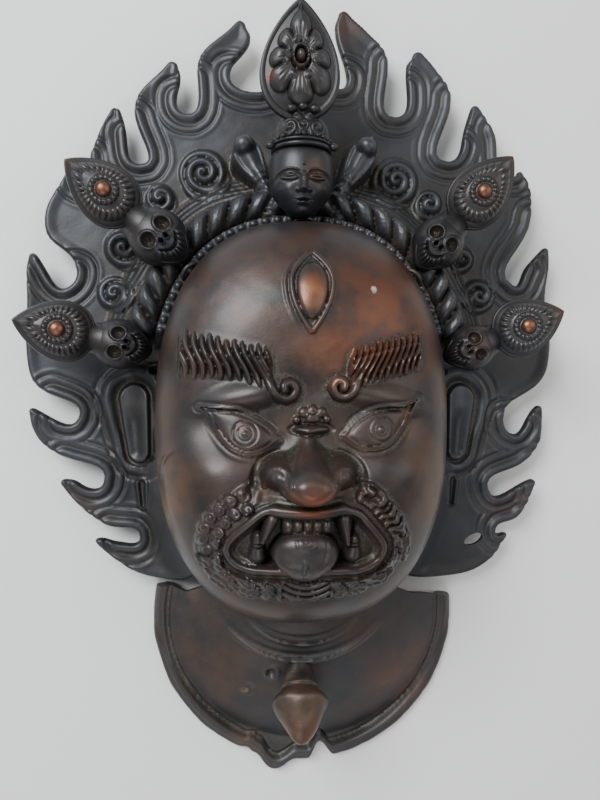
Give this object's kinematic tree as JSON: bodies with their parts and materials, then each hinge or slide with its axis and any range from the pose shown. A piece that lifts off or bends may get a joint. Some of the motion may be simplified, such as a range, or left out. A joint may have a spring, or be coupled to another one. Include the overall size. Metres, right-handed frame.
{
  "type": "tibetan cham mask",
  "caption": "Cast copper alloy mask of a wrathful three-eyed deity, hollow behind, with a flame aureole, a skull crown and a collar, lying on its back.",
  "frame": {"origin": "middle of the whole mask's outline, on the surface it lies on", "axes": "+X to the viewer's right, +Y from the collar to the crown, +Z out of the face"},
  "size_m": [0.2386, 0.349, 0.0958],
  "materials": {
    "face_patina": "dark red-brown patina, satin, worn to copper on the high spots",
    "aureole_patina": "blackened patina, satin, with a cool grey sheen",
    "collar_patina": "dark patina with red-brown areas, satin",
    "crown_patina": "dark patina with tan grime in the recesses"
  },
  "bodies": {
    "root": {"face": "face_patina", "flame_aureole": "aureole_patina", "neck_collar": "collar_patina", "crown_head": "crown_patina", "skull_upper_left": "crown_patina", "skull_upper_right": "crown_patina", "skull_lower_left": "crown_patina", "skull_lower_right": "crown_patina"}
  },
  "joints": []
}
